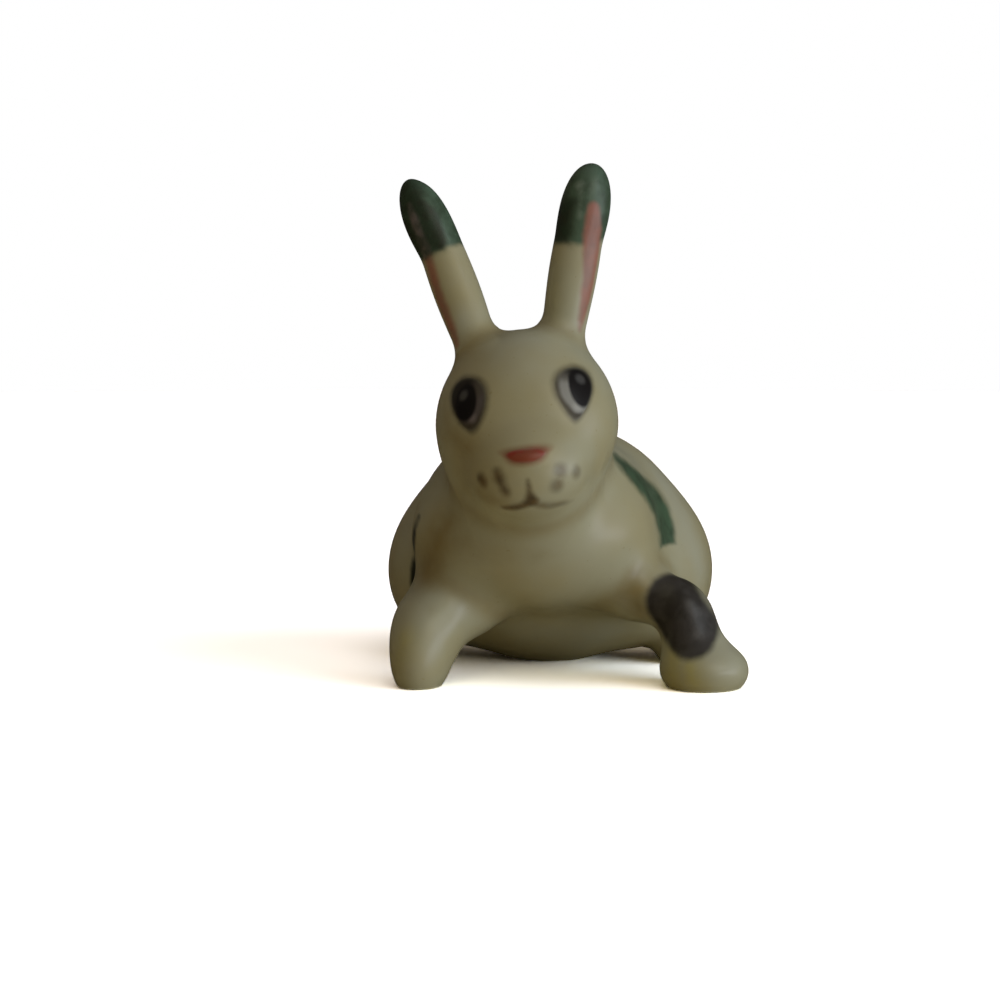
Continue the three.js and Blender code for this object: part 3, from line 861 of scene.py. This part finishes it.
def mark_left_ear(piece, p):
    q = to_ear(1)(p)
    tip = TIP_FROM[0] - q[:, 2] + TIP_RISES[1] * np.maximum(q[:, 0] - TIP_RISES[0], 0)
    keep_on(piece, "tip", tip)
    keep_on(piece, "tip_painted_highlight", stroke(q, PAINTED_HIGHLIGHT_LEFT))
    keep_on(piece, "inner", stroke(q, INNER_SHADE_LEFT))
    inward = np.maximum(q[:, 0] - TIP_DARK[0], q[:, 2] - TIP_DARK_UP_TO)
    keep_on(piece, "tip_painted_shade", np.maximum(tip, inward))
    keep_on(piece, "streak", stroke(q, STREAK_LEFT))


def mark_right_ear(piece, p):
    q = to_ear(-1)(p)
    streak = stroke(q, STREAK_RIGHT)
    tip = TIP_FROM[1] - q[:, 2]
    keep_on(piece, "tip", tip)
    keep_on(piece, "tip_painted_shade", np.maximum(tip, q[:, 0] + TIP_DARK[1]))
    keep_on(piece, "streak", streak)
    keep_on(piece, "tip_streak", np.maximum(streak, tip))
    keep_on(piece, "fold_shade", stroke(q, FOLD_SHADE_RIGHT))
    keep_on(piece, "pale", stroke(q, ROOT_PAINTED_LIGHT))


def mark_foreleg(piece, p):
    keep_on(piece, "patch", rounded_block(p, **PATCH))
    keep_on(piece, "pale", stroke(p, FOOT_PAINTED_LIGHT))
    keep_on(piece, "tan", stroke(p, TAN))
    keep_on(piece, "foot_yellow", nearest_stroke(p, FOOT_YELLOWS))


finishes = {
    "torso": (body_glaze, mark_body),
    "haunch_left": (body_glaze, mark_body),
    "haunch_right": (body_glaze, mark_body),
    "head": (head_glaze, mark_head),
    "ear_left": (left_ear_glaze, mark_left_ear),
    "ear_right": (right_ear_glaze, mark_right_ear),
    "foreleg_left": (foreleg_glaze, mark_foreleg),
    "foreleg_right": (paw_glaze, mark_paw),
}
for node in forms:
    piece, points = clay_piece(node)
    material, mark = finishes.get(node, (plain_glaze, None))
    piece.data.materials.append(material)
    if mark:
        mark(piece, points)
    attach(piece, "root")
    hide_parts(node)


def add_dab(node, shape, axes, side, material):
    piece, flat = dab_piece(node, shape, axes, side)
    piece.data.materials.append(material)
    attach(piece, "root")
    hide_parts(node)
    return piece, flat


# The right eye's white is painted darker, partly as painted shade
eye_paints = {
    "left": eye_enamel("left_eye_enamel", EYE_WHITE, EYE_WHITE_HIGHLIGHT),
    "right": eye_enamel("right_eye_enamel", SHADED_EYE_WHITE, SHADED_EYE_HIGHLIGHT),
}
for name, side in SIDES:
    node, enamel = f"eye_enamel_{name}", eye_paints[name]
    piece, flat = add_dab(node, EYES[name], eye_axes(side), side, enamel)
    x, y = np.tile(flat, (2, 1)).T
    for mark, oval in EYE_MARKS[name].items():
        keep_on(piece, mark, oval_gap(x, y, **oval))
    lash = LASH_SLOPE[0] * (LASH_FROM[0] - x) + LASH_SLOPE[1] * (LASH_FROM[1] - y)
    keep_on(piece, "lash", lash)
add_dab("nose_enamel", NOSE, dab_axes(NOSE_AT, 0), 1, nose_enamel())

# Camera at the height of the ears, a little to the rabbit's left
CAMERA_AT = (18.17, -148.94, 23.1)
CAMERA_TURN = 8
CAMERA_DROP = 5
CAMERA_LENS = 88.2
CAMERA_SENSOR = 36
LAMPS_AIM_AT = np.array((0, 0, 0.012))  # the rabbit's middle, in the frame's metres
camera_data = bpy.data.cameras.new("camera")
camera_data.lens = CAMERA_LENS
camera_data.sensor_width = CAMERA_SENSOR
camera_data.clip_start = 0.01
camera = bpy.data.objects.new("camera", camera_data)
camera.location = (CAMERA_AT + SHIFT) * MM
camera.rotation_euler = (math.radians(90 - CAMERA_DROP), 0, math.radians(CAMERA_TURN))
bpy.context.scene.collection.objects.link(camera)
bpy.context.scene.camera = camera


def lamp(name, turn, rise, distance, width, height, radiance, tint):
    """A soft panel of light facing the rabbit, turned to the viewer's right from the camera."""
    around, up = math.radians(turn + CAMERA_TURN), math.radians(rise)
    place = np.array((math.sin(around) * math.cos(up), -math.cos(around) * math.cos(up), math.sin(up)))
    data = bpy.data.lights.new(name, "AREA")
    data.shape = "RECTANGLE"
    data.size, data.size_y = width, height
    data.energy = radiance * math.pi * width * height
    data.color = tint
    panel = bpy.data.objects.new(name, data)
    panel.location = place * distance + LAMPS_AIM_AT
    panel.rotation_euler = (math.radians(90 - rise), 0, around)
    bpy.context.scene.collection.objects.link(panel)


lamp("window", 66, 14, 0.8, 0.8, 0.8, 1.25, (0.78, 0.9, 1))
lamp("window_low", 60, 2, 0.8, 0.8, 0.3, 3.3, (0.92, 0.95, 1))
lamp("ceiling", 30, 75, 0.9, 1.0, 1.0, 0.52, (1, 0.96, 0.9))
lamp("front_fill", 10, 45, 0.8, 0.8, 0.8, 0.34, (1, 0.75, 0.4))
lamp("back_fill", -155, 35, 0.9, 1.2, 0.8, 0.32, (1, 0.88, 0.78))


def seen_or_reflected(tree):
    """One for camera, glossy and transmission rays, and zero for the rest."""
    rays = tree.nodes.new("ShaderNodeLightPath").outputs
    total = rays["Is Camera Ray"]
    for kind in ("Is Glossy Ray", "Is Transmission Ray"):
        add = tree.nodes.new("ShaderNodeMath")
        add.operation = "MAXIMUM"
        tree.links.new(total, add.inputs[0])
        tree.links.new(rays[kind], add.inputs[1])
        total = add.outputs[0]
    return total


# Colours of the stage
FLOOR_RADIUS = 0.4
FLOOR_LOOKS = color(4.2, 4.3, 4.6)
FLOOR_BOUNCE = color(0.98, 0.87, 0.6)
CLOTH_COLOR = color(0.05, 0.04, 0.03)
AMBIENT = color(0.012, 0.008, 0.004)

# White surroundings, and a dim warm light from all round
world = bpy.data.worlds.new("world")
world.use_nodes = True
bpy.context.scene.world = world
tree = world.node_tree
background = tree.nodes["Background"]
mix = tree.nodes.new("ShaderNodeMix")
mix.data_type = "RGBA"
mix.inputs[6].default_value = AMBIENT
mix.inputs[7].default_value = color(1, 1, 1)
tree.links.new(seen_or_reflected(tree), mix.inputs[0])
tree.links.new(mix.outputs[2], background.inputs["Color"])


def stage_piece(name, shape, material):
    """A part of the stage, from a bmesh."""
    mesh = bpy.data.meshes.new(name)
    shape.to_mesh(mesh)
    shape.free()
    mesh.materials.append(material)
    piece = bpy.data.objects.new(name, mesh)
    bpy.context.scene.collection.objects.link(piece)
    return piece


# Floor: it looks white and takes the rabbit's shadow
disc = bmesh.new()
bmesh.ops.create_circle(disc, cap_ends=True, segments=96, radius=FLOOR_RADIUS)
floor_material = bpy.data.materials.new("floor")
floor_material.use_nodes = True
tree = floor_material.node_tree
tree.nodes.clear()
matte = tree.nodes.new("ShaderNodeBsdfDiffuse")
mix = tree.nodes.new("ShaderNodeMix")
mix.data_type = "RGBA"
mix.inputs[6].default_value = FLOOR_BOUNCE
mix.inputs[7].default_value = FLOOR_LOOKS
tree.links.new(seen_or_reflected(tree), mix.inputs[0])
tree.links.new(mix.outputs[2], matte.inputs["Color"])
tree.links.new(matte.outputs[0], tree.nodes.new("ShaderNodeOutputMaterial").inputs["Surface"])
stage_piece("floor", disc, floor_material)

# Dark cloths round the stage and on the floor, seen only in the glaze's reflections, as a dim room
# would be. Each gap is from and to in turn and in rise, and lets the white surroundings through.
CLOTH_RADIUS = 0.6
CLOTH_LIFT = 0.0001  # over the floor
CLOTH_GAPS = ((8, 56, 24, 48), (38, 45, -5, 16))


def in_gap(face):
    middle = face.calc_center_median()
    turn = math.degrees(math.atan2(middle.x, -middle.y)) - CAMERA_TURN
    rise = math.degrees(math.asin(middle.z / middle.length))
    return any(a < turn < b and c < rise < d for a, b, c, d in CLOTH_GAPS)


tent = bmesh.new()
bmesh.ops.create_uvsphere(tent, u_segments=180, v_segments=90, radius=CLOTH_RADIUS)
bmesh.ops.delete(tent, geom=[face for face in tent.faces if in_gap(face)], context="FACES")
bmesh.ops.create_circle(
    tent, cap_ends=True, segments=96, radius=CLOTH_RADIUS, matrix=Matrix.Translation((0, 0, CLOTH_LIFT)),
)
cloth_material = bpy.data.materials.new("dark_cloth")
cloth_material.use_nodes = True
cloth_material.node_tree.nodes["Principled BSDF"].inputs["Base Color"].default_value = CLOTH_COLOR
cloths = stage_piece("dark_cloths", tent, cloth_material)
cloths.visible_camera = False
cloths.visible_diffuse = False
cloths.visible_shadow = False

bpy.context.scene.view_settings.view_transform = "Standard"
